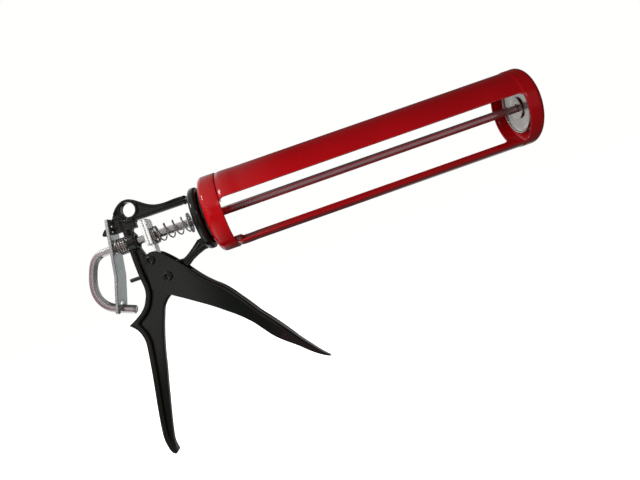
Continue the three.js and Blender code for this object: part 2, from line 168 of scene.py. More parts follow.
def spline(pts, per=4, closed=False):
    """Centripetal Catmull-Rom curve through the points."""
    n = len(pts)
    if closed:
        ext = [pts[-1]] + list(pts) + [pts[0], pts[1]]
        spans = n
    else:
        a, b, y, z = pts[0], pts[1], pts[-2], pts[-1]
        ext = [tuple(2 * i - j for i, j in zip(a, b))] + list(pts) + [tuple(2 * j - i for i, j in zip(y, z))]
        spans = n - 1
    out = []
    for k in range(spans):
        p = [Vector(q) for q in ext[k:k + 4]]
        t = [0.0]
        for i in range(3):
            t.append(t[-1] + max(1e-6, (p[i + 1] - p[i]).length ** 0.5))
        for s in range(per):
            u = t[1] + (t[2] - t[1]) * s / per
            a1 = p[0] * ((t[1] - u) / (t[1] - t[0])) + p[1] * ((u - t[0]) / (t[1] - t[0]))
            a2 = p[1] * ((t[2] - u) / (t[2] - t[1])) + p[2] * ((u - t[1]) / (t[2] - t[1]))
            a3 = p[2] * ((t[3] - u) / (t[3] - t[2])) + p[3] * ((u - t[2]) / (t[3] - t[2]))
            b1 = a1 * ((t[2] - u) / (t[2] - t[0])) + a2 * ((u - t[0]) / (t[2] - t[0]))
            b2 = a2 * ((t[3] - u) / (t[3] - t[1])) + a3 * ((u - t[1]) / (t[3] - t[1]))
            out.append(tuple(b1 * ((t[2] - u) / (t[2] - t[1])) + b2 * ((u - t[1]) / (t[2] - t[1]))))
    if not closed:
        out.append(tuple(pts[-1]))
    return out


def fillet(pts, radius, steps=5, closed=True):
    """Rounds the corners of a polygon. radius is one number or one for each corner."""
    n = len(pts)
    r = [radius] * n if isinstance(radius, (int, float)) else radius
    out = []
    for i, p in enumerate(pts):
        if (not closed and i in (0, n - 1)) or r[i] <= 0:
            out.append(tuple(p))
            continue
        a, b = pts[i - 1], pts[(i + 1) % n]
        u, v = unit(a[0] - p[0], a[1] - p[1]), unit(b[0] - p[0], b[1] - p[1])
        dot = max(-1.0, min(1.0, u[0] * v[0] + u[1] * v[1]))
        half = math.acos(dot) / 2
        if half > math.radians(89):
            out.append(tuple(p))
            continue
        la, lb = math.hypot(a[0] - p[0], a[1] - p[1]), math.hypot(b[0] - p[0], b[1] - p[1])
        d = min(r[i] / math.tan(half), 0.49 * la, 0.49 * lb)
        rr = d * math.tan(half)
        m = unit(u[0] + v[0], u[1] + v[1])
        c = (p[0] + m[0] * rr / math.sin(half), p[1] + m[1] * rr / math.sin(half))
        s, e = (p[0] + u[0] * d, p[1] + u[1] * d), (p[0] + v[0] * d, p[1] + v[1] * d)
        a0, a1 = math.atan2(s[1] - c[1], s[0] - c[0]), math.atan2(e[1] - c[1], e[0] - c[0])
        while a1 - a0 > math.pi:
            a1 -= 2 * math.pi
        while a1 - a0 < -math.pi:
            a1 += 2 * math.pi
        for k in range(steps + 1):
            t = a0 + (a1 - a0) * k / steps
            out.append((c[0] + rr * math.cos(t), c[1] + rr * math.sin(t)))
    return out


def offset(line, d):
    out = []
    for i, p in enumerate(line):
        a, b = line[max(0, i - 1)], line[min(len(line) - 1, i + 1)]
        n1, n2 = unit(p[0] - a[0], p[1] - a[1]), unit(b[0] - p[0], b[1] - p[1])
        t = n2 if i == 0 else n1 if i == len(line) - 1 else unit(n1[0] + n2[0], n1[1] + n2[1])
        out.append((p[0] - t[1] * d, p[1] + t[0] * d))
    return out


def inset(loop, dist):
    """Moves each point of a loop into the material by its own distance (outer loops run anticlockwise, holes clockwise)."""
    n, out = len(loop), []
    for i, p in enumerate(loop):
        a, b = loop[i - 1], loop[(i + 1) % n]
        e1, e2 = unit(p[0] - a[0], p[1] - a[1]), unit(b[0] - p[0], b[1] - p[1])
        n1, n2 = (e1[1], -e1[0]), (e2[1], -e2[0])
        k = 1 + n1[0] * n2[0] + n1[1] * n2[1]
        k = max(k, 0.35)
        out.append((p[0] - (n1[0] + n2[0]) / k * dist[i], p[1] - (n1[1] + n2[1]) / k * dist[i]))
    return out


def inside(pt, loop):
    x, y = pt
    hit = False
    for (x0, y0), (x1, y1) in zip(loop, loop[1:] + loop[:1]):
        if (y0 > y) != (y1 > y) and x < (x1 - x0) * (y - y0) / (y1 - y0) + x0:
            hit = not hit
    return hit


def cap(loops, extra=()):
    pts, edges = [], []
    for loop in loops:
        b, n = len(pts), len(loop)
        pts += [Vector(p) for p in loop]
        edges += [(b + i, b + (i + 1) % n) for i in range(n)]
    pts += [Vector(p) for p in extra]
    vo, _, fo, ov, _, _ = geometry.delaunay_2d_cdt(pts, edges, [], 0, 1e-7, True)
    tris = []
    for f in fo:
        c = (sum(vo[i][0] for i in f) / 3, sum(vo[i][1] for i in f) / 3)
        if inside(c, loops[0]) and not any(inside(c, h) for h in loops[1:]):
            if all(ov[i] for i in f):
                tris.append(tuple(ov[i][0] for i in f))
    return tris


def plate(name, loops, w0, w1, bevel=0.4, seg=3, extra=(), place=None):
    """A slab of an outline with holes and rounded edges. bevel is a number, or one for each point of the outer loop. place maps (u, v, w) to (x, y, z)."""
    loops = [list(p) for p in loops]
    if area2(loops[0]) < 0:
        loops[0].reverse()
        if not isinstance(bevel, (int, float)):
            bevel = list(reversed(bevel))
    for h in loops[1:]:
        if area2(h) > 0:
            h.reverse()
    bev = [[bevel] * len(lp) if isinstance(bevel, (int, float)) else (bevel if i == 0 else [min(bevel)] * len(lp)) for i, lp in enumerate(loops)]
    flat = all(b == 0 for bb in bev for b in bb)
    steps = [0.0] if flat else [math.pi / 2 * k / seg for k in range(seg + 1)]
    rings = [(1 - math.cos(a), 1 - math.sin(a), -1) for a in reversed(steps)] + [(1 - math.cos(a), 1 - math.sin(a), 1) for a in steps]
    if flat:
        rings = [(0, 0, -1), (0, 0, 1)]
    verts, faces, index = [], [], []
    for k, (ins, drop_w, side) in enumerate(rings):
        index.append([])
        for lp, bb in zip(loops, bev):
            base = len(verts)
            moved = inset(lp, [b * ins for b in bb])
            for p, b in zip(moved, bb):
                w = (w1 - b * drop_w) if side > 0 else (w0 + b * drop_w)
                verts.append((p[0], p[1], w))
            index[-1].append((base, len(lp)))
    for k in range(len(rings) - 1):
        for (b0, n), (b1, _) in zip(index[k], index[k + 1]):
            for i in range(n):
                j = (i + 1) % n
                faces.append((b0 + i, b0 + j, b1 + j, b1 + i))
    count = sum(len(lp) for lp in loops)
    for k, w in ((0, w0), (len(rings) - 1, w1)):
        ls = [[(verts[b + i][0], verts[b + i][1]) for i in range(n)] for b, n in index[k]]
        tri = cap(ls, extra)
        base = index[k][0][0]
        add = len(verts)
        verts += [(p[0], p[1], w) for p in extra]
        for t in tri:
            faces.append(tuple(base + i if i < count else add + i - count for i in t))
    place = place or (lambda u, v, w: (u, w, v))
    return raw(name, [place(*v) for v in verts], faces)


def lathe(name, profile, seg=128, axis="X", at=(0.0, 0.0), mark=None):
    """Turns a closed (along, radius) profile about the axis. at is the axis's place across it."""
    verts, faces, n = [], [], len(profile)
    for s in range(seg):
        a = 2 * math.pi * s / seg
        for p in profile:
            r = p[1]
            if mark:
                r = mark(p[0], p[1], a)
            u, v = r * math.cos(a), r * math.sin(a)
            if axis == "X":
                verts.append((p[0], at[0] + u, at[1] + v))
            else:
                verts.append((at[0] + u, p[0], at[1] + v))
    for s in range(seg):
        t = (s + 1) % seg
        for i in range(n):
            j = (i + 1) % n
            faces.append((s * n + i, s * n + j, t * n + j, t * n + i))
    ob = raw(name, verts, faces)
    bm = bmesh.new()
    bm.from_mesh(ob.data)
    bmesh.ops.dissolve_degenerate(bm, edges=bm.edges, dist=1e-5)
    bm.to_mesh(ob.data)
    bm.free()
    return ob


def sweep(name, section, path, up=(0, 1, 0), ends=0.0):
    """Carries a section along a path with no twist. ends rounds both end faces by that much."""
    P = [Vector(p) for p in path]
    tang = []
    for i in range(len(P)):
        a, b = P[max(0, i - 1)], P[min(len(P) - 1, i + 1)]
        tang.append((b - a).normalized())
    stations = []
    for i, p in enumerate(P):
        stations.append((p, tang[i], 1.0, 0.0))
    if ends:
        first, last = [], []
        for k in range(4):
            a = math.pi / 2 * k / 4
            first.append((P[0] + tang[0] * ends * (1 - math.sin(a)), tang[0], 1.0, ends * (1 - math.cos(a))))
            last.append((P[-1] - tang[-1] * ends * (1 - math.sin(a)), tang[-1], 1.0, ends * (1 - math.cos(a))))
        stations = list(reversed(first)) + stations[1:-1] + last
    r0 = max(math.hypot(*q) for q in section)
    up = Vector(up)
    side = (up - tang[0] * up.dot(tang[0])).normalized()
    verts, faces, m = [], [], len(section)
    prev = stations[0][1]
    for p, t, sc, shrink in stations:
        side = prev.rotation_difference(t) @ side
        side = (side - t * side.dot(t)).normalized()
        prev = t
        other = t.cross(side)
        k = sc * (r0 - shrink) / r0
        for q in section:
            verts.append(p + side * q[0] * k + other * q[1] * k)
    n = len(stations)
    for i in range(n - 1):
        for j in range(m):
            k = (j + 1) % m
            faces.append((i * m + j, i * m + k, (i + 1) * m + k, (i + 1) * m + j))
    faces.append(tuple(range(m)))
    faces.append(tuple((n - 1) * m + j for j in range(m)))
    return raw(name, verts, faces)


def circle(x, z, r, n=48):
    return [(x + r * math.cos(2 * math.pi * i / n), z + r * math.sin(2 * math.pi * i / n)) for i in range(n)]


def rect(x0, x1, z0, z1):
    return [(x0, z0), (x1, z0), (x1, z1), (x0, z1)]


def rod_of(name, x0, x1, r, seg=48, z=0.0):
    return lathe(name, [(x0, 0.0005), (x0, r), (x1, r), (x1, 0.0005)], seg, "X", (0.0, z)) if False else cylinder(name, x0, x1, r, seg, "X", (0.0, z))


def cylinder(name, a0, a1, r, seg=48, axis="X", at=(0.0, 0.0), bevel=0.0):
    ring = [(r * math.cos(2 * math.pi * i / seg), r * math.sin(2 * math.pi * i / seg)) for i in range(seg)]
    if axis == "X":
        return plate(name, [ring], a0, a1, bevel, 3, place=lambda u, v, w: (w, at[0] + u, at[1] + v))
    return plate(name, [ring], a0, a1, bevel, 3, place=lambda u, v, w: (at[0] + u, w, at[1] + v))


def finish_piece(ob, body, mat, nodes, angle=40, smooth=True):
    ob.data.transform(TO_ROW)
    for p in ob.data.polygons:
        p.use_smooth = smooth
    if smooth:
        ob.data.set_sharp_from_angle(angle=math.radians(angle))
    ob.data.materials.clear()
    ob.data.materials.append(mat)
    ob.data.update()
    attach(ob, body)
    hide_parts(*nodes)
    return ob


# -------------------------------------------------------------------- materials
class Tree:
    def __init__(self, name):
        self.mat = bpy.data.materials.new(name)
        self.mat.use_nodes = True
        self.nt = self.mat.node_tree
        self.nt.nodes.clear()
        self.out = self.nt.nodes.new("ShaderNodeOutputMaterial")
        self.b = self.nt.nodes.new("ShaderNodeBsdfPrincipled")
        self.nt.links.new(self.b.outputs[0], self.out.inputs[0])
        co = self.nt.nodes.new("ShaderNodeTexCoord")
        self.co = co.outputs["Object"]

    def put(self, kind, **kw):
        n = self.nt.nodes.new(kind)
        for k, v in kw.items():
            setattr(n, k, v)
        return n

    def link(self, a, b):
        self.nt.links.new(a, b)

    def stretched(self, sx, sy, sz):
        m = self.put("ShaderNodeMapping")
        m.inputs["Scale"].default_value = (sx, sy, sz)
        self.link(self.co, m.inputs["Vector"])
        return m.outputs[0]

    def noise(self, scale, detail=4.0, rough=0.55, vec=None, distort=0.0):
        n = self.put("ShaderNodeTexNoise")
        n.inputs["Scale"].default_value = scale
        n.inputs["Detail"].default_value = detail
        n.inputs["Roughness"].default_value = rough
        n.inputs["Distortion"].default_value = distort
        self.link(vec or self.co, n.inputs["Vector"])
        return n.outputs["Fac"]

    def ramp(self, fac, stops):
        r = self.put("ShaderNodeValToRGB")
        el = r.color_ramp.elements
        while len(el) < len(stops):
            el.new(0.5)
        for e, (p, c) in zip(el, stops):
            e.position = p
            e.color = (c, c, c, 1) if isinstance(c, (int, float)) else (*c, 1)
        self.link(fac, r.inputs[0])
        return r.outputs[0]

    def span(self, fac, lo, hi, a=0.3, b=0.7):
        m = self.put("ShaderNodeMapRange")
        m.inputs["From Min"].default_value = a
        m.inputs["From Max"].default_value = b
        m.inputs["To Min"].default_value = lo
        m.inputs["To Max"].default_value = hi
        self.link(fac, m.inputs["Value"])
        return m.outputs[0]

    def mix(self, fac, a, b):
        m = self.put("ShaderNodeMix", data_type="RGBA")
        if isinstance(fac, (int, float)):
            m.inputs[0].default_value = fac
        else:
            self.link(fac, m.inputs[0])
        for sock, v in ((m.inputs[6], a), (m.inputs[7], b)):
            if isinstance(v, tuple):
                sock.default_value = (*v, 1)
            else:
                self.link(v, sock)
        return m.outputs[2]

    def add(self, a, b, ka=1.0, kb=1.0):
        m = self.put("ShaderNodeMath", operation="MULTIPLY")
        self.link(a, m.inputs[0])
        m.inputs[1].default_value = ka
        n = self.put("ShaderNodeMath", operation="MULTIPLY_ADD")
        self.link(b, n.inputs[0])
        n.inputs[1].default_value = kb
        self.link(m.outputs[0], n.inputs[2])
        return n.outputs[0]

    def bump(self, height, strength, distance, normal=None):
        b = self.put("ShaderNodeBump")
        b.inputs["Strength"].default_value = strength
        b.inputs["Distance"].default_value = distance
        self.link(height, b.inputs["Height"])
        if normal:
            self.link(normal, b.inputs["Normal"])
        return b.outputs[0]

    def set(self, **kw):
        for k, v in kw.items():
            s = self.b.inputs[k.replace("_", " ")]
            if isinstance(v, (int, float)):
                s.default_value = v
            elif isinstance(v, tuple):
                s.default_value = (*v, 1) if len(v) == 3 else v
            else:
                self.link(v, s)


def paint(name, deep, bright, dust, rough, peel, grain, level=0.5, coat=0.0):
    """Sprayed gloss paint: two close tones in broad clouds, fine dust in the surface, orange peel, slight haze."""
    t = Tree(name)
    clouds = t.noise(26.0, 3.0, 0.5)
    fine = t.noise(1500.0, 2.0, 0.6)
    specks = t.ramp(t.noise(900.0, 1.0, 0.4), [(0.0, 0.0), (0.70, 0.0), (0.78, 1.0)])
    base = t.mix(t.span(clouds, 0.0, 1.0), deep, bright)
    base = t.mix(t.span(specks, 0.0, 0.16, 0.0, 1.0), base, dust)
    haze = t.add(t.noise(60.0, 5.0, 0.6), fine, 0.75, 0.25)
    rgh = t.span(haze, rough[0], rough[1])
    h = t.add(t.noise(520.0, 2.0, 0.45), t.noise(160.0, 3.0, 0.5), 0.5, 0.5)
    n1 = t.bump(h, peel, 0.00025)
    n2 = t.bump(fine, grain, 0.00004, n1)
    t.set(Base_Color=base, Roughness=rgh, Normal=n2, Specular_IOR_Level=level, IOR=1.5, Coat_Weight=coat, Coat_Roughness=0.04, Coat_IOR=1.5)
    return t.mat


def metal(name, dark, light, rough, streak, grain, spots=None, stretch=(1.0, 1.0, 1.0), bare=1.0):
    """Bare or plated steel: tone clouds, drawn or rolled streaks, fine pits and a patchy polish."""
    t = Tree(name)
    clouds = t.noise(55.0, 4.0, 0.55)
    lines = t.noise(700.0, 3.0, 0.6, vec=t.stretched(*stretch))
    pits = t.noise(2200.0, 2.0, 0.6)
    base = t.mix(t.span(clouds, 0.0, 1.0), dark, light)
    if spots:
        tint = t.ramp(t.noise(120.0, 3.0, 0.6, distort=0.6), [(0.0, 0.0), (0.52, 0.0), (0.68, 1.0)])
        base = t.mix(t.span(tint, 0.0, 0.45, 0.0, 1.0), base, spots)
    base = t.mix(t.span(lines, 0.0, 0.10), base, tuple(c * 0.62 for c in dark))
    rgh = t.span(t.add(clouds, lines, 0.5, 0.5), rough[0], rough[1])
    n1 = t.bump(lines, streak, 0.00006)
    n2 = t.bump(pits, grain, 0.00003, n1)
    t.set(Base_Color=base, Metallic=bare, Roughness=rgh, Normal=n2)
    return t.mat


RED = paint("red_gloss", (0.40, 0.0030, 0.0055), (0.45, 0.0038, 0.0070), (0.62, 0.03, 0.03), (0.07, 0.12), 0.05, 0.05)
BLACK = paint("black_gloss_cast", (0.0062, 0.0072, 0.0056), (0.0098, 0.0112, 0.0086), (0.045, 0.045, 0.04), (0.06, 0.14), 0.12, 0.10)
BLACK_SHEET = paint("black_gloss_sheet", (0.0066, 0.0076, 0.0060), (0.0096, 0.0110, 0.0086), (0.045, 0.045, 0.04), (0.05, 0.11), 0.05, 0.06)
ZINC = metal("zinc_bright", (0.46, 0.51, 0.53), (0.70, 0.75, 0.75), (0.20, 0.34), 0.35, 0.20, (0.66, 0.68, 0.66), (0.35, 1.0, 0.12), 0.78)
ZINC_PALE = metal("zinc_pale", (0.76, 0.78, 0.77), (0.88, 0.90, 0.88), (0.28, 0.42), 0.30, 0.20, (0.80, 0.80, 0.76), (1.0, 0.35, 0.2), 0.30)
STEEL = metal("rod_bright", (0.56, 0.53, 0.53), (0.72, 0.69, 0.68), (0.10, 0.20), 0.30, 0.16, None, (0.03, 1.0, 1.0), 0.90)
WIRE = metal("spring_wire", (0.42, 0.40, 0.38), (0.66, 0.64, 0.60), (0.16, 0.30), 0.25, 0.20, (0.34, 0.30, 0.26), (1.0, 1.0, 1.0), 0.85)
DISC = metal("disc_zinc", (0.36, 0.34, 0.33), (0.54, 0.51, 0.49), (0.16, 0.30), 0.25, 0.20, (0.52, 0.47, 0.42))

# --------------------------------------------------------------------- outlines
REAR = [(-70.3, -3.6), (-70.3, -10.5), (-70.1, -20.3), (-69.6, -27.2), (-69.1, -33.1), (-69.8, -38.1), (-71.3, -41.5),
        (-73.2, -45.0), (-76.2, -48.2), (-79.3, -50.4), (-83.1, -52.6), (-87.9, -54.9), (-85.4, -57.3), (-83.1, -60.2), (-81.6, -63.7),
        (-80.8, -67.6), (-80.7, -70.6), (-81.6, -77.5), (-83.1, -87.4), (-84.6, -96.2), (-86.4, -106.1), (-88.0, -115.0), (-89.6, -124.8),
        (-90.7, -132.7), (-91.0, -137.6), (-90.6, -142.6), (-89.6, -147.0), (-88.2, -149.5), (-86.4, -150.6)]
GRIP_FRONT = [(-57.8, -46.5), (-60.8, -50.3), (-62.8, -55.1), (-65.3, -61.6), (-68.1, -70.2), (-70.9, -80.3), (-73.5, -91.3),
              (-75.9, -100.4), (-78.4, -110.5), (-80.9, -120.5), (-83.4, -131.0), (-85.2, -140.0), (-85.5, -146.0), (-85.2, -149.6)]
TOP = [(-21.1, 19.3), (-29.1, 19.5), (-34.0, 19.3), (-38.9, 19.4), (-42.9, 20.1), (-45.9, 21.2), (-48.8, 22.8), (-51.8, 24.9),
       (-54.5, 27.0), (-57.0, 28.7), (-59.6, 29.8), (-62.2, 30.2), (-64.9, 29.9), (-67.6, 28.6), (-70.6, 26.1), (-73.3, 22.9), (-75.4, 20.2)]
TRIG_HEAD = [(-52.1, -44.1), (-54.0, -43.2), (-56.9, -41.2), (-60.6, -39.1), (-63.4, -36.8), (-63.2, -30.3), (-63.1, -20.5),
             (-62.4, -15.6), (-60.6, -12.8), (-57.6, -11.2), (-54.4, -11.0), (-51.2, -12.2), (-48.6, -14.4), (-43.0, -20.3), (-38.6, -25.3)]
TRIG_FRONT = [(-36.0, -28.4), (-31.7, -34.0), (-26.6, -40.2), (-21.5, -45.3), (-16.4, -49.7), (-12.3, -54.5), (-8.2, -60.2),
              (-4.1, -66.0), (-0.9, -70.7), (3.0, -76.4), (7.1, -81.5), (11.2, -86.9), (15.3, -92.5), (19.4, -98.3), (23.4, -104.2),
              (27.7, -109.6), (31.8, -114.8), (35.9, -119.6), (38.9, -122.4)]
TRIG_LOW = [(38.6, -123.0), (35.0, -121.0), (30.2, -117.6), (25.4, -113.4), (20.6, -108.6), (15.8, -104.3), (10.9, -100.1), (6.0, -95.4),
            (1.1, -89.1), (-3.8, -82.5), (-8.7, -77.1), (-13.6, -72.5), (-18.5, -68.4), (-23.4, -64.4), (-28.3, -60.6), (-33.2, -57.1),
            (-38.1, -53.7), (-43.0, -50.3), (-47.9, -46.9)]
HOOK = [(-88.0, 0.0), (-90.6, -0.15), (-93.2, -0.9), (-95.7, -2.5), (-97.8, -4.9), (-99.6, -8.2), (-101.2, -12.2), (-102.6, -16.4),
        (-103.5, -20.8), (-103.7, -25.2), (-103.0, -29.4), (-101.5, -32.9), (-99.4, -35.8), (-96.6, -38.3), (-93.2, -40.2), (-80.4, -45.6)]
PIVOT, DRIVE = (-49.8, -31.0), (-57.6, -16.6)
BORE_R = 3.95

# ---------------------------------------------------------------- handle casting
rear = spline(REAR[:12], 3)[:-1] + spline(REAR[11:], 3)
front = spline(GRIP_FRONT, 3)
top = spline(TOP, 4)
low = spline([(-15.4, -21.7), (-21.0, -21.5), (-26.1, -23.3), (-31.1, -25.6), (-35.2, -28.6), (-40.0, -33.0), (-46.0, -38.6), (-52.0, -42.4)], 3)
outline = top + [(-77.3, 9.3), (-70.3, 9.3)] + rear + list(reversed(front)) + list(reversed(low)) + [(-15.4, 19.0)]
window = fillet([(-60.5, 13.95), (-19.5, 13.95), (-19.5, 5.0), (-15.0, 5.0), (-15.0, -5.0), (-19.5, -5.0), (-19.5, -12.6), (-23.6, -13.6), (-28.9, -17.9), (-33.8, -21.3), (-36.8, -22.6),
                 (-44.0, -21.8), (-58.5, -21.8), (-61.4, -20.6), (-62.5, -18.5), (-62.5, -13.5), (-61.4, -10.8), (-62.4, -7.8), (-63.3, -4.6),
                 (-71.5, -4.6), (-71.5, 4.6), (-64.6, 4.6), (-64.4, 9.2), (-60.5, 9.2)],
                [1.2, 0, 0, 0, 0, 0, 0, 0, 0, 0, 0, 0, 1, 1, 1, 1, 1, 1, 0, 0, 0, 0, 0.6, 0.8], 3)
parts = []
parts.append(plate("web", [outline, window, circle(-62.3, 22.9, 5.2, 64)], -2.4, 2.4, 0.0))

rim = [(-70.3, 9.3)] + REAR
inner = offset(rim, 3.9)
inner[11:15] = [(-79.6, -55.2), (-80.3, -56.5), (-79.9, -57.7), (-79.2, -59.4)]
inner[27:30] = [(-86.0, -145.6), (-85.8, -147.6), (-85.3, -149.8)]
rim_s = spline(rim[:13], 3)[:-1] + spline(rim[12:], 3)
inner_s = spline(inner, 3)
parts.append(plate("rim", [rim_s + list(reversed(inner_s))], -4.8, 4.8, 1.1, 3))
bore = cylinder("bore", -84, 12, BORE_R, 64)


def bored(ob):
    return cut(ob, bore, keep=True)


parts.append(bored(plate("wall", [fillet([(-70.3, -4.0), (-64.4, -4.0), (-64.4, 9.2), (-60.5, 9.2), (-60.5, 16.0), (-70.3, 16.0)], 0.4, 2)], -4.8, 4.8, 0.6, 2)))
parts.append(bored(cylinder("boss", -70.3, -63.6, 6.6, 72, bevel=0.7)))
parts.append(plate("ledge", [fillet([(-66.0, 13.95), (-20.0, 13.95), (-20.0, 16.2), (-66.0, 16.2)], 0.3, 2)], -4.8, 4.8, 0.5, 2))
top_line = spline(TOP[:10], 4)
parts.append(plate("crest", [top_line + list(reversed(offset(top_line, 1.7)))], -4.0, 4.0, 0.5, 2))
loop_line = spline(TOP[9:16], 4)
parts.append(plate("lobe", [loop_line + list(reversed(offset(loop_line, 1.7)))], -3.7, 3.7, 0.5, 2))
eye = lathe("eye", fillet([(-3.4, 5.2), (-3.4, 6.9), (3.4, 6.9), (3.4, 5.2)], 0.5, 3), 72, "Y", (-62.3, 22.9))
parts.append(eye)
parts.append(plate("block", [fillet([(-70.2, 9.3), (-70.2, 20.0), (-75.5, 20.0), (-77.3, 9.3)], [0.3, 0.3, 0.8, 0.6], 3)], -7.0, 7.0, 0.6, 2))
parts.append(plate("lug", [fillet([(-74.0, 12.1), (-81.1, 12.1), (-81.1, 10.9), (-83.0, 9.9), (-85.6, 10.7), (-84.4, 12.9), (-82.2, 15.1), (-74.0, 15.1)],
                                  [0, 0.2, 0.3, 0.8, 0.9, 0.9, 0.9, 0], 3)], -2.8, 2.8, 0.5, 2))
parts.append(bored(plate("front_wall", [fillet([(-23.6, -13.6), (-17.0, -20.0), (-17.0, 19.3), (-22.2, 19.3), (-23.6, 17.6)], 0.4, 2)], -6.0, 6.0, 0.8, 3)))
parts.append(plate("strut_a", [fillet([(-17.0, -13.0), (-22.9, -13.9), (-28.9, -17.9), (-33.8, -21.3), (-36.8, -22.6), (-38.6, -22.4), (-37.0, -24.4), (-33.4, -23.2), (-28.2, -20.2), (-22.2, -16.2), (-17.0, -15.4)], 0.3, 2)], -4.0, 4.0, 0.5, 2))
parts.append(plate("strut_b", [fillet([(-17.0, -21.4), (-21.0, -21.5), (-26.1, -23.3), (-31.1, -25.6), (-35.2, -28.6), (-37.4, -27.2), (-31.8, -23.3), (-26.4, -20.9), (-21.2, -19.2), (-17.0, -18.8)], 0.3, 2)], -4.0, 4.0, 0.5, 2))
parts.append(cylinder("peg", -77.9, -68.0, 1.5, 32, at=(0.0, -25.3), bevel=0.35))
flange_profile = fillet([(-18.0, BORE_R), (-18.0, 22.6), (-12.0, 22.6), (-12.0, 9.0), (-3.2, 9.0), (-3.2, BORE_R)], [0.2, 2.6, 1.6, 0.8, 0.4, 0.2], 8)
parts.append(lathe("flange", flange_profile, 160))
parts.append(cylinder("pivot_boss", -5.4, 5.4, 6.5, 64, "Y", PIVOT, 0.5))
casting = join("casting", parts)
casting = cast(casting, 0.42, 5, 0.5)
hole = cylinder("hole", -12, 12, 2.85, 48, "Y", PIVOT)
cut(casting, hole)
drop(bore)
finish_piece(casting, "handle", BLACK, ["handle_frame"], 70)

# ------------------------------------------------------------------------ rivets
def rivet(name, at, shank, half, body, node):
    """A rivet with a domed head on each side, each with the round dimple its punch left."""
    prof = [(0.0, 0.001), (0.0, shank)]
    side = [(half + 0.3, shank), (half + 0.3, 3.0), (half + 0.42, 3.22), (half + 0.7, 3.3), (half + 1.0, 3.15), (half + 1.22, 2.8),
            (half + 1.34, 2.35), (half + 1.3, 1.95), (half + 1.05, 1.6), (half + 0.5, 1.35), (half + 0.35, 1.1), (half + 0.32, 0.6), (half + 0.32, 0.001)]
    full = [(-x, r) for x, r in reversed(side)] + side
    ob = lathe(name, full, 64, "Y", at)
    return finish_piece(ob, body, BLACK_SHEET, [node], 50)


rivet("pivot_rivet", PIVOT, 2.5, 7.2, "handle", "trigger_pivot_pin")
rivet("drive_rivet", DRIVE, 2.0, 7.2, "trigger", "drive_pin")
roller = lathe("roller", fillet([(-5.3, 2.35), (-5.3, 3.2), (5.3, 3.2), (5.3, 2.35)], 0.25, 3), 64, "Y", DRIVE)
finish_piece(roller, "trigger", ZINC, ["drive_roller"])

# ----------------------------------------------------------------------- cradle
ring_profile = fillet([(4.0, 26.4), (4.0, 27.6), (-8.9, 27.6), (-8.9, 9.3), (-7.7, 9.3), (-7.7, 26.4)], [0.35, 0.5, 3.7, 0.3, 0.3, 2.5], 10)
rear_ring = lathe("rear_ring", ring_profile, 256)


def sector(name, a0, a1, x0, x1, corner=2.2):
    """A block covering an angle about the rod axis, with rounded corners at its x0 end."""
    verts, faces, cols = [], [], []
    n = 60
    for i in range(n + 1):
        a = a0 + (a1 - a0) * i / n
        along = math.radians(min(a - a0, a1 - a)) * 27.0
        k = max(0.0, corner - along)
        x = x0 + corner - math.sqrt(max(0.0, corner * corner - k * k))
        t = math.radians(a)
        base = len(verts)
        for r in (22.0, 32.0):
            for q in (x, x1):
                verts.append((q, -math.sin(t) * r, math.cos(t) * r))
        cols.append(base)
    for b0, b1 in zip(cols, cols[1:]):
        for i, j in ((0, 1), (1, 3), (3, 2), (2, 0)):
            faces.append((b0 + i, b0 + j, b1 + j, b1 + i))
    faces.append(tuple(cols[0] + i for i in (0, 1, 3, 2)))
    faces.append(tuple(cols[-1] + i for i in (0, 2, 3, 1)))
    return raw(name, verts, faces)


cut(rear_ring, sector("loading", 226.0, 337.0, -4.4, 9.0))
finish_piece(rear_ring, "cradle", RED, ["rear_cup"], 50)


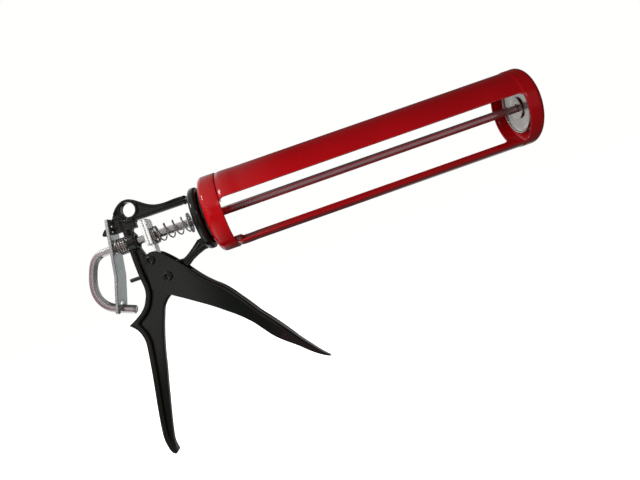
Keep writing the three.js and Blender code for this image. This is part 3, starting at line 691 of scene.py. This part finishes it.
def cradle_sheet():
    """The two arms and the front cup as one painted skin, with rounded corners where the windows end."""
    UP, LOW_ = (10.0, 77.8), (156.6, 221.0)
    x_rear, x_front, r_f, r_r = 4.3, 219.6, 3.6, 2.6
    deg = math.degrees

    def R(x):
        if x < 4.1:
            return 26.05
        k = min(1.0, max(0.0, (x - 4.3) / 3.0))
        base = 26.85 + 0.55 * k * k * (3 - 2 * k)
        k = min(1.0, max(0.0, (x - 11.0) / 9.0))
        base -= 0.2 * k * k * (3 - 2 * k)
        k = min(1.0, max(0.0, (x - 218.6) / 1.8))
        return base + 0.4 * k * k * (3 - 2 * k)

    # stations along the arms: (x, extra half width in mm)
    st = [(-4.5, 0.0), (3.6, 0.0)]
    for k in range(9):
        a = math.pi / 2 * k / 8
        st.append((x_rear + r_r * (1 - math.cos(a)), r_r * (1 - math.sin(a))))
    x = x_rear + r_r + 2.0
    while x < x_front - r_f - 3.0:
        st.append((x, 0.0))
        x += 2.0 if x < 24 else 5.5
    for k in range(11):
        a = math.pi / 2 * k / 10
        st.append((x_front - r_f + r_f * math.sin(a), r_f * (1 - math.cos(a))))
    w = deg(r_f / 27.3)
    cols = {}

    def spread(a0, a1, n):
        return [a0 + (a1 - a0) * i / n for i in range(n + 1)]

    full = []
    spans = []
    for a0, a1 in (UP, LOW_):
        n = 36
        spans.append((len(full), n))
        full += spread(a0 - w, a1 + w, n)
        nxt = LOW_[0] - w if (a0, a1) == UP else 360 + UP[0] - w
        m = int(round((nxt - (a1 + w)) / 2.0))
        full += spread(a1 + w, nxt, m)[1:-1]
    verts, faces = [], []

    def pt(x, r, a):
        a = math.radians(a)
        return (x, -math.sin(a) * r, math.cos(a) * r)

    rows = []
    # cup profile from the arms' end to the nozzle hole
    prof = [(219.6, R(219.6))] + [(x, R(x)) for x in (220.0, 220.5, 221.2, 223.0, 225.2)]
    for k in range(13):
        a = math.pi / 2 * k / 12
        prof.append((231.0 - 3.7 * (1 - math.sin(a)), 27.6 - 3.7 * (1 - math.cos(a))))
    prof += [(231.0, r) for r in (21.5, 18.0, 14.5)]
    for k in range(1, 6):                       # soft turned-in lip at the nozzle hole
        a = math.pi / 2 * k / 5
        prof.append((231.0 - 0.6 * (1 - math.cos(a)), 11.6 - 0.6 * math.sin(a)) if k else (231.0, 11.6))
    prof.insert(-5, (231.0, 11.6))
    cup_rows = []
    for x, r in prof:
        base = len(verts)
        verts += [pt(x, r, a) for a in full]
        cup_rows.append(base)
    n_full = len(full)
    for b0, b1 in zip(cup_rows, cup_rows[1:]):
        for i in range(n_full):
            j = (i + 1) % n_full
            faces.append((b0 + i, b0 + j, b1 + j, b1 + i))
    for (start, n), (a0, a1) in zip(spans, (UP, LOW_)):
        prev = [cup_rows[0] + start + i for i in range(n + 1)]
        for x, e in list(reversed(st))[1:]:
            d = deg(e / 27.3)
            base = len(verts)
            verts += [pt(x, R(x), a) for a in spread(a0 - d, a1 + d, n)]
            here = [base + i for i in range(n + 1)]
            for i in range(n):
                faces.append((prev[i], prev[i + 1], here[i + 1], here[i]))
            prev = here
    ob = raw("cradle_sheet", verts, faces)
    # normals point outward: the outer skin is the drawn one
    bm = bmesh.new()
    bm.from_mesh(ob.data)
    f = max(bm.faces, key=lambda q: q.calc_center_median().x * 0 + q.calc_center_median().z)
    if f.normal.z < 0:
        bmesh.ops.reverse_faces(bm, faces=bm.faces)
    bm.to_mesh(ob.data)
    bm.free()
    s = ob.modifiers.new("sheet", "SOLIDIFY")
    s.thickness = 1.05
    s.offset = -1.0
    s.use_even_offset = True
    s.use_rim = True
    apply_mods(ob)
    return edge(ob, 0.32, 3, 55)


sheet = cradle_sheet()
finish_piece(sheet, "cradle", RED, ["front_cup", "upper_arm", "lower_arm"], 45)

collar = lathe("collar", fillet([(-11.7, 9.3), (-11.7, 19.5), (-9.2, 19.5), (-9.2, 9.3)], [0.3, 0.9, 0.5, 0.3], 5), 160)
finish_piece(collar, "handle", BLACK, ["swivel_collar"])
washer = lathe("swivel_washer_fine", fillet([(-7.4, 9.3), (-7.4, 15.5), (-6.3, 15.5), (-6.3, 9.3)], 0.25, 4), 128)
finish_piece(washer, "cradle", ZINC, ["swivel_washer"])


def nut(name, x0, x1, af, bore_r, body, mat, node, chamfer=0.5, thread=0.8):
    """A hexagon nut with turned chamfers and a threaded bore."""
    ac = af / math.cos(math.pi / 6)
    hexa = fillet([(ac / 2 * math.cos(math.pi / 3 * i + math.pi / 6), ac / 2 * math.sin(math.pi / 3 * i + math.pi / 6)) for i in range(6)], 0.3, 3)
    dense = []
    for p, q in zip(hexa, hexa[1:] + hexa[:1]):
        steps = max(1, int(math.hypot(q[0] - p[0], q[1] - p[1]) / 0.9))
        dense += [(p[0] + (q[0] - p[0]) * k / steps, p[1] + (q[1] - p[1]) * k / steps) for k in range(steps)]
    verts, faces, n = [], [], len(dense)
    L = x1 - x0
    face_r = af / 2 * 0.97
    levels = [(x0, "c"), (x0, "f"), (x0 + 0.12, "s"), (x1 - 0.12, "s"), (x1, "f"), (x1, "c")]
    rings = []
    steps = 10
    for i in range(steps + 1):
        x = x0 + L * i / steps
        ring_v = []
        for p in dense:
            r = math.hypot(*p)
            depth = min(x - x0, x1 - x)
            lim = face_r + depth / math.tan(math.radians(30)) * 1.0
            k = min(1.0, lim / r)
            ring_v.append((x, p[0] * k, p[1] * k))
        rings.append(ring_v)
    inner = []
    m = steps * 3
    for i in range(m + 1):
        x = x0 + L * i / m
        ring_v = []
        for p in dense:
            a = math.atan2(p[1], p[0])
            ph = ((x - x0) / thread + a / (2 * math.pi)) % 1.0
            tri = 1 - abs(2 * ph - 1)
            depth = min(x - x0, x1 - x)
            r = bore_r + 0.12 * tri * min(1.0, depth / 0.3) + max(0.0, 0.35 - depth)
            ring_v.append((x, r * math.cos(a), r * math.sin(a)))
        inner.append(ring_v)
    allr = rings + list(reversed(inner))
    for rg in allr:
        verts += rg
    k = len(allr)
    for i in range(k):
        b0, b1 = i * n, ((i + 1) % k) * n
        for j in range(n):
            q = (j + 1) % n
            faces.append((b0 + j, b0 + q, b1 + q, b1 + j))
    ob = raw(name, verts, faces)
    return finish_piece(ob, body, mat, [node], 32)


nut("swivel_nut_fine", -6.0, -3.5, 23.5, 9.25, "handle", ZINC, "swivel_nut", thread=1.25)

# -------------------------------------------------------------------------- rod
ROD_AF = 5.6
hex_corners = [(ROD_AF / 2 / math.cos(math.pi / 6) * math.cos(math.pi / 3 * i + math.pi / 6), ROD_AF / 2 / math.cos(math.pi / 6) * math.sin(math.pi / 3 * i + math.pi / 6)) for i in range(6)]
hex_flat = fillet(hex_corners, 0.55, 4)
hex_section = []
for p, q in zip(hex_flat, hex_flat[1:] + hex_flat[:1]):     # drawn bar: each flat is very slightly crowned
    long = math.hypot(q[0] - p[0], q[1] - p[1])
    steps = 8 if long > 1.0 else 1
    for k in range(steps):
        t = k / steps
        lift_ = -0.085 * (1 - 4 * t * (1 - t)) if long > 1.0 else -0.085
        x, y = p[0] + (q[0] - p[0]) * t, p[1] + (q[1] - p[1]) * t
        g = 1 + lift_ / math.hypot(x, y)
        hex_section.append((x * g, y * g))
hook = spline([(x, z) for x, z in HOOK], 5)
path = [(224.2, 0, 0), (223.0, 0, 0), (180.0, 0, 0), (120.0, 0, 0), (60.0, 0, 0), (0.0, 0, 0), (-60.0, 0, 0), (-84.0, 0, 0)] + [(p[0], 0, p[1]) for p in hook]
rod = sweep("rod_hex", hex_section, path, ends=0.5)


def stud():
    """The turned and threaded end of the rod."""
    seg, verts, faces = 36, [], []
    xs = [222.6 + 0.1 * i for i in range(int((229.4 - 222.6) / 0.1) + 1)]
    for x in xs:
        for s in range(seg):
            a = 2 * math.pi * s / seg
            ph = ((x - 224.0) / 0.8 + a / (2 * math.pi)) % 1.0
            tri = 1 - abs(2 * ph - 1)
            fade = min(1.0, max(0.0, (x - 224.3) / 0.4))
            r = 2.5 - 0.34 * tri * fade - max(0.0, x - 229.0) * 0.9
            verts.append((x, r * math.cos(a), r * math.sin(a)))
    n = len(xs)
    for i in range(n - 1):
        for s in range(seg):
            t = (s + 1) % seg
            faces.append((i * seg + s, i * seg + t, (i + 1) * seg + t, (i + 1) * seg + s))
    faces.append(tuple(range(seg)))
    faces.append(tuple((n - 1) * seg + s for s in range(seg)))
    return raw("stud", verts, faces)


rod = join("rod_bar", [rod, stud()])
finish_piece(rod, "push_rod", STEEL, ["plunger_rod"], 35)

dx = 225.8
disc_profile = fillet([(dx + 1.1, 2.8), (dx + 1.1, 15.2), (dx + 0.5, 17.4), (dx - 0.6, 18.5), (dx - 1.8, 18.5), (dx - 1.8, 17.35),
                       (dx - 0.9, 17.2), (dx - 0.3, 16.2), (dx, 14.4), (dx, 9.0), (dx, 2.8)],
                      [0.15, 1.4, 1.4, 1.0, 0.5, 0.5, 0.6, 0.8, 1.0, 0, 0.15], 6)
disc = lathe("disc_fine", disc_profile, 160)
finish_piece(disc, "push_rod", DISC, ["pusher_disc"], 50)
dw = lathe("disc_washer_fine", fillet([(224.5, 2.8), (224.5, 8.0), (225.5, 8.0), (225.5, 2.8)], 0.22, 4), 96)
finish_piece(dw, "push_rod", DISC, ["pusher_washer"])
nut("disc_nut_fine", 227.2, 229.2, 7.9, 2.78, "push_rod", ZINC, "pusher_nut")

# ---------------------------------------------------------------------- trigger
head = spline(TRIG_HEAD, 3)
blade = spline(TRIG_FRONT, 3)
under = spline(TRIG_LOW, 3)
outer = head + blade + under
n_head, n_blade = len(head), len(blade)
bev = []
for i in range(len(outer)):
    if n_head <= i < n_head + n_blade:
        k = (i - n_head) / n_blade
        bev.append(1.9 * min(1.0, (i - n_head) / 5.0 + 0.3) * (1.0 if k < 0.75 else max(0.25, 1 - (k - 0.75) * 3.4)))
    else:
        bev.append(0.35)
shell = plate("trigger_outer", [outer], -7.2, 7.2, bev, 5)
wall = offset(TRIG_FRONT[1:14], -1.5)
core = plate("trigger_core", [[(-75, -50), (-75, 0), (-30, 0), (-34.4, -29.6)] + wall + [(11.0, -107.0), (-10, -100)]], -5.7, 5.7, 0.0)


def plan(x):
    return 1.0 if x <= 14 else max(0.38, 1.0 - (x - 14) * 0.62 / 25.5)


for v in shell.data.vertices:
    v.co.y *= plan(v.co.x)
for v in core.data.vertices:
    k = plan(v.co.x)
    v.co.y = math.copysign((7.2 * k - 1.5), v.co.y)
cut(shell, core)
for at, r in ((PIVOT, 2.85), (DRIVE, 2.35)):
    cut(shell, cylinder("pin_hole", -12, 12, r, 40, "Y", at))
shell = cast(shell, 0.34, 3, 0.5)
shell.name = "trigger_channel"
finish_piece(shell, "trigger", BLACK_SHEET, ["trigger"], 70)

# ------------------------------------------------------------------ grip plates
px = DRIVE[0] + 3.2 + 0.3
head_pts = [(-7.0, -6.2), (-4.2, -6.2), (-4.2, -20.0), (4.2, -20.0), (4.2, -6.2), (7.0, -6.2), (7.0, 12.6), (-7.0, 12.6)]
tailed = fillet(head_pts, [1.6, 0.9, 1.0, 1.0, 0.9, 1.6, 2.4, 2.4], 6)
plain = fillet([(-7.0, -6.2), (7.0, -6.2), (7.0, 12.6), (-7.0, 12.6)], [1.6, 1.6, 2.4, 2.4], 6)
yz = lambda u, v, w: (w, u, v)
p1 = plate("drive_plate_fine", [tailed, circle(0, 0, 3.85, 64)], px, px + 2.1, 0.42, 4, place=yz)
finish_piece(p1, "drive", ZINC_PALE, ["drive_plate"])
p2 = plate("drive_backing_fine", [plain, circle(0, 0, 3.85, 64)], px - 2.4, px - 0.3, 0.42, 4, place=yz)
finish_piece(p2, "drive", ZINC_PALE, ["drive_backing_plate"])


def coil(name, x0, x1, r, wire, turns, dead0, dead1, phase=0.0, per=28, sides=14):
    """A compression spring with closed end turns: dead0 and dead1 turns lie almost touching at its ends."""
    pts = []
    n = int(turns * per)
    tight = wire * 2.06
    rise = (x1 - x0 - tight * (dead0 + dead1)) / (turns - dead0 - dead1)
    for i in range(n + 1):
        t = turns * i / n
        x = x0 + tight * min(t, dead0) + rise * max(0.0, min(t, turns - dead1) - dead0) + tight * max(0.0, t - (turns - dead1))
        a = 2 * math.pi * t + phase
        pts.append((x, -r * math.sin(a), r * math.cos(a)))
    for _ in range(6):       # ease the change of pitch
        xs = [p[0] for p in pts]
        pts = [pts[0]] + [((xs[i - 1] + xs[i] * 2 + xs[i + 1]) / 4, pts[i][1], pts[i][2]) for i in range(1, n)] + [pts[-1]]
    sec = [(wire * math.cos(2 * math.pi * k / sides), wire * math.sin(2 * math.pi * k / sides)) for k in range(sides)]
    return sweep(name, sec, pts, up=(1, 0, 0), ends=wire * 0.4)


w = 0.55
sp1 = coil("return_coil", px + 2.1 + 0.3 + w, -25.2 - w, 6.3 - w, w, 5.7, 1.9, 0.2, 0.4)
finish_piece(sp1, "handle", WIRE, ["return_spring"])
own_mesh(sp1)
v = 0.65
sp2 = coil("release_coil", -77.7 + v, -70.6 - v, 6.1 - v, v, 3.6, 0.7, 0.5)
finish_piece(sp2, "handle", WIRE, ["release_spring"])
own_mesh(sp2)
seat = lathe("seat_washer_fine", fillet([(-24.9, 4.1), (-24.9, 7.4), (-23.9, 7.4), (-23.9, 4.1)], 0.22, 4), 96)
finish_piece(seat, "handle", ZINC, ["spring_seat_washer"])

# ---------------------------------------------------------------- release plate
A, Mid, B = Vector((-75.9, 20.3)), Vector((-82.4, -19.6)), Vector((-90.1, -44.8))
L1, L2 = (Mid - A).length, (B - Mid).length
total = L1 + L2
T1, T2 = (Mid - A).normalized(), (B - Mid).normalized()
BEND_R = 9.0
turn = math.acos(max(-1, min(1, T1.dot(T2))))
half = BEND_R * math.tan(turn / 2)


def on_front(s):
    """Point and direction of the plate's front face at distance s from its top."""
    if s < L1 - half:
        return A + T1 * s, T1
    if s > L1 + half:
        return Mid + T2 * (s - L1), T2
    k = (s - (L1 - half)) / (2 * half)
    p0, p1, p2 = A + T1 * (L1 - half), Mid, A + T1 * L1 + T2 * half
    p = p0 * (1 - k) ** 2 + p1 * 2 * k * (1 - k) + p2 * k * k
    return p, (T1 * (1 - k) + T2 * k).normalized()


def s_of(z):
    return (20.3 - z) / (-T1.y) if z > Mid.y else L1 + (Mid.y - z) / (-T2.y)


def lever_place(u, v, w):       # u down the plate, v across, w into it
    p, t = on_front(u)
    n = Vector((t.y, -t.x))
    if n.x > 0:
        n = -n
    q = p + n * w
    return (q.x, v, q.y)


HW = 8.4
s_rod, s_w0, s_w1, s_fork = s_of(0.0), s_of(15.9), s_of(11.3), s_of(-36.6)
edge_pts = [(0, -HW), (total, -HW), (total, -4.4), (s_fork, -4.4), (s_fork, 4.4), (total, 4.4), (total, HW), (0, HW)]
lever_outline = fillet(edge_pts, [1.6, 1.5, 0.8, 3.6, 3.6, 0.8, 1.5, 1.6], 7)
dense = []
for p, q in zip(lever_outline, lever_outline[1:] + lever_outline[:1]):
    n = max(1, int(math.hypot(q[0] - p[0], q[1] - p[1]) / 1.6))
    dense += [(p[0] + (q[0] - p[0]) * k / n, p[1] + (q[1] - p[1]) * k / n) for k in range(n)]
win = fillet([(s_w0, -3.4), (s_w1, -3.4), (s_w1, 3.4), (s_w0, 3.4)], 0.7, 4)
inner_pts = []
s = 1.6
while s < s_fork - 1.2:
    for k in range(-4, 5):
        y = k * 1.75
        if (abs(y) < 4.4 and s_w0 - 1.2 < s < s_w1 + 1.2) or (s - s_rod) ** 2 + y * y < 30.0:
            continue
        inner_pts.append((s, y))
    s += 1.7
lever = plate("release_lever", [dense, circle(s_rod, 0, 4.3, 56), win], 0.0, 2.2, 0.45, 4, extra=inner_pts, place=lever_place)
finish_piece(lever, "release", ZINC, ["release_plate"], 50)

# ------------------------------------------------------------------------ stage
def stage_floor():
    t = Tree("pale_floor")
    n = t.noise(3.0, 4.0, 0.5)
    g = t.noise(420.0, 2.0, 0.5)
    base = t.mix(t.span(n, 0.0, 1.0), (0.90, 0.90, 0.895), (0.93, 0.93, 0.925))
    t.set(Base_Color=base, Roughness=t.span(g, 0.55, 0.7), Normal=t.bump(g, 0.02, 0.0002), Emission_Color=(1.0, 1.0, 0.995), Emission_Strength=1.02)
    me = bpy.data.meshes.new("floor")
    s, z = 6.0, LO0.z - 0.0002
    me.from_pydata([(-s, -s, z), (s, -s, z), (s, s, z), (-s, s, z)], [], [(0, 1, 2, 3)])
    ob = bpy.data.objects.new("floor", me)
    scene.collection.objects.link(ob)
    me.materials.append(t.mat)
    ob.visible_glossy = False
    ob.visible_diffuse = False


stage_floor()


def soft_box(name, at, look, size, power, color=(1, 1, 1), size_y=None):
    li = bpy.data.lights.new(name, "AREA")
    li.shape = "RECTANGLE"
    li.size, li.size_y = size, size_y or size
    li.energy = power
    li.color = color
    ob = bpy.data.objects.new(name, li)
    scene.collection.objects.link(ob)
    ob.location = at
    ob.rotation_euler = (Vector(look) - Vector(at)).to_track_quat("-Z", "Y").to_euler()
    ob.visible_camera = False
    return ob


fill = soft_box("fill", (-0.30, -0.38, 0.11), (-0.02, 0.0, 0.0), 0.28, 2.25)
fill.visible_glossy = False
glint = soft_box("glint", (-0.42, -0.30, 0.50), (-0.08, 0.0, 0.03), 0.14, 0.9)
glint.visible_diffuse = False
lift = soft_box("lift", (0.02, -0.25, -0.30), (0.02, 0.0, 0.0), 0.45, 0.55)
lift.visible_glossy = False
rear_fill = soft_box("rear_fill", (0.25, 0.75, 0.35), (0.0, 0.0, 0.0), 0.6, 5.0)
rear_fill.visible_glossy = False

world = bpy.data.worlds.new("studio")
scene.world = world
world.use_nodes = True
nt = world.node_tree
nt.nodes.clear()
out = nt.nodes.new("ShaderNodeOutputWorld")
bg = nt.nodes.new("ShaderNodeBackground")
tc = nt.nodes.new("ShaderNodeTexCoord")
sep = nt.nodes.new("ShaderNodeSeparateXYZ")
nt.links.new(tc.outputs["Generated"], sep.inputs[0])
X, Y, Z = sep.outputs


def step(sock, a, b, lo=0.0, hi=1.0):
    """A soft edge of the studio's walls: lo on the side of a, hi on the side of b."""
    r = nt.nodes.new("ShaderNodeMapRange")
    r.interpolation_type = "SMOOTHSTEP"
    flip = a > b
    r.inputs["From Min"].default_value = min(a, b)
    r.inputs["From Max"].default_value = max(a, b)
    r.inputs["To Min"].default_value = hi if flip else lo
    r.inputs["To Max"].default_value = lo if flip else hi
    nt.links.new(sock, r.inputs["Value"])
    return r.outputs[0]


def calc(op, a, b):
    m = nt.nodes.new("ShaderNodeMath")
    m.operation = op
    for k, v in enumerate((a, b)):
        if isinstance(v, (int, float)):
            m.inputs[k].default_value = v
        else:
            nt.links.new(v, m.inputs[k])
    return m.outputs[0]


# the room around the tool, as the gloss paint and bare metal see it
card = calc("MULTIPLY", calc("MULTIPLY", step(X, -0.19, -0.27), step(Z, -0.18, -0.06)), 0.42)
card = calc("MULTIPLY", card, step(X, -0.43, -0.385))
sky = calc("MULTIPLY", calc("MULTIPLY", step(X, 0.02, -0.22), step(Z, 0.10, 0.50)), 0.50)
left = step(X, -0.13, -0.34)
under = calc("MULTIPLY", step(Z, -0.30, -0.75), calc("ADD", calc("MULTIPLY", left, 0.85), 0.02))
behind = calc("MULTIPLY", step(Y, 0.20, 0.70), calc("ADD", calc("MULTIPLY", left, 0.55), 0.03))
level = calc("MULTIPLY", step(Z, -0.55, -0.25), step(Z, 0.55, 0.25))
back = calc("MULTIPLY", calc("MULTIPLY", calc("MULTIPLY", step(Y, 0.45, 0.80), level), step(X, 0.10, 0.28)), 0.42)
band = calc("MULTIPLY", calc("MULTIPLY", step(Z, 0.20, 0.27), step(Z, 0.46, 0.38)), calc("MULTIPLY", step(Y, -0.50, -0.70), step(X, -0.13, -0.08)))
band = calc("MULTIPLY", calc("MULTIPLY", band, step(X, 0.46, 0.40)), 0.95)
total_glow = calc("ADD", calc("MAXIMUM", card, sky), calc("ADD", calc("ADD", under, behind), calc("ADD", calc("ADD", back, band), 0.03)))
# a dull rose wall straight ahead of the tool's front half
wall_in = calc("MULTIPLY", calc("MULTIPLY", calc("MAXIMUM", step(X, -0.16, -0.04), step(X, -0.385, -0.43)), step(Y, -0.55, -0.80)), calc("MULTIPLY", step(Z, -0.45, -0.20), step(Z, 0.50, 0.25)))
lp = nt.nodes.new("ShaderNodeLightPath")


def blend(fac, a, b):
    m = nt.nodes.new("ShaderNodeMix")
    m.data_type = "RGBA"
    nt.links.new(fac, m.inputs[0])
    for sock, v in ((m.inputs[6], a), (m.inputs[7], b)):
        if isinstance(v, tuple):
            sock.default_value = (*v, 1)
        else:
            nt.links.new(v, sock)
    return m.outputs[2]


tint = nt.nodes.new("ShaderNodeCombineColor")
for k, (g, rose) in enumerate(((1.0, 0.26), (1.0, 0.115), (0.985, 0.135))):
    nt.links.new(calc("ADD", calc("MULTIPLY", total_glow, g), calc("MULTIPLY", wall_in, rose)), tint.inputs[k])
seen = blend(lp.outputs["Is Glossy Ray"], (0.15, 0.15, 0.15), tint.outputs[0])
seen = blend(lp.outputs["Is Camera Ray"], seen, (1.0, 1.0, 0.99))
nt.links.new(seen, bg.inputs["Color"])
bg.inputs["Strength"].default_value = 1.0
nt.links.new(bg.outputs[0], out.inputs[0])
scene.view_settings.view_transform = "Standard"

# ----------------------------------------------------------------------- camera
cam = bpy.data.cameras.new("camera")
cam.sensor_width = 36.0
cam.lens = 474.0 / 640.0 * 36.0
cam.clip_start, cam.clip_end = 0.01, 30.0
cam_ob = bpy.data.objects.new("camera", cam)
scene.collection.objects.link(cam_ob)
fwd = Vector((0.0239, 0.9997, 0.0)).normalized()
up = Vector((0.3335, -0.0079, 0.9425))
up = (up - fwd * up.dot(fwd)).normalized()
right = fwd.cross(up)
m = Matrix((right, up, -fwd)).transposed().to_4x4()
m.translation = row(50.6, -340.0, -42.6)
cam_ob.matrix_world = m
scene.camera = cam_ob
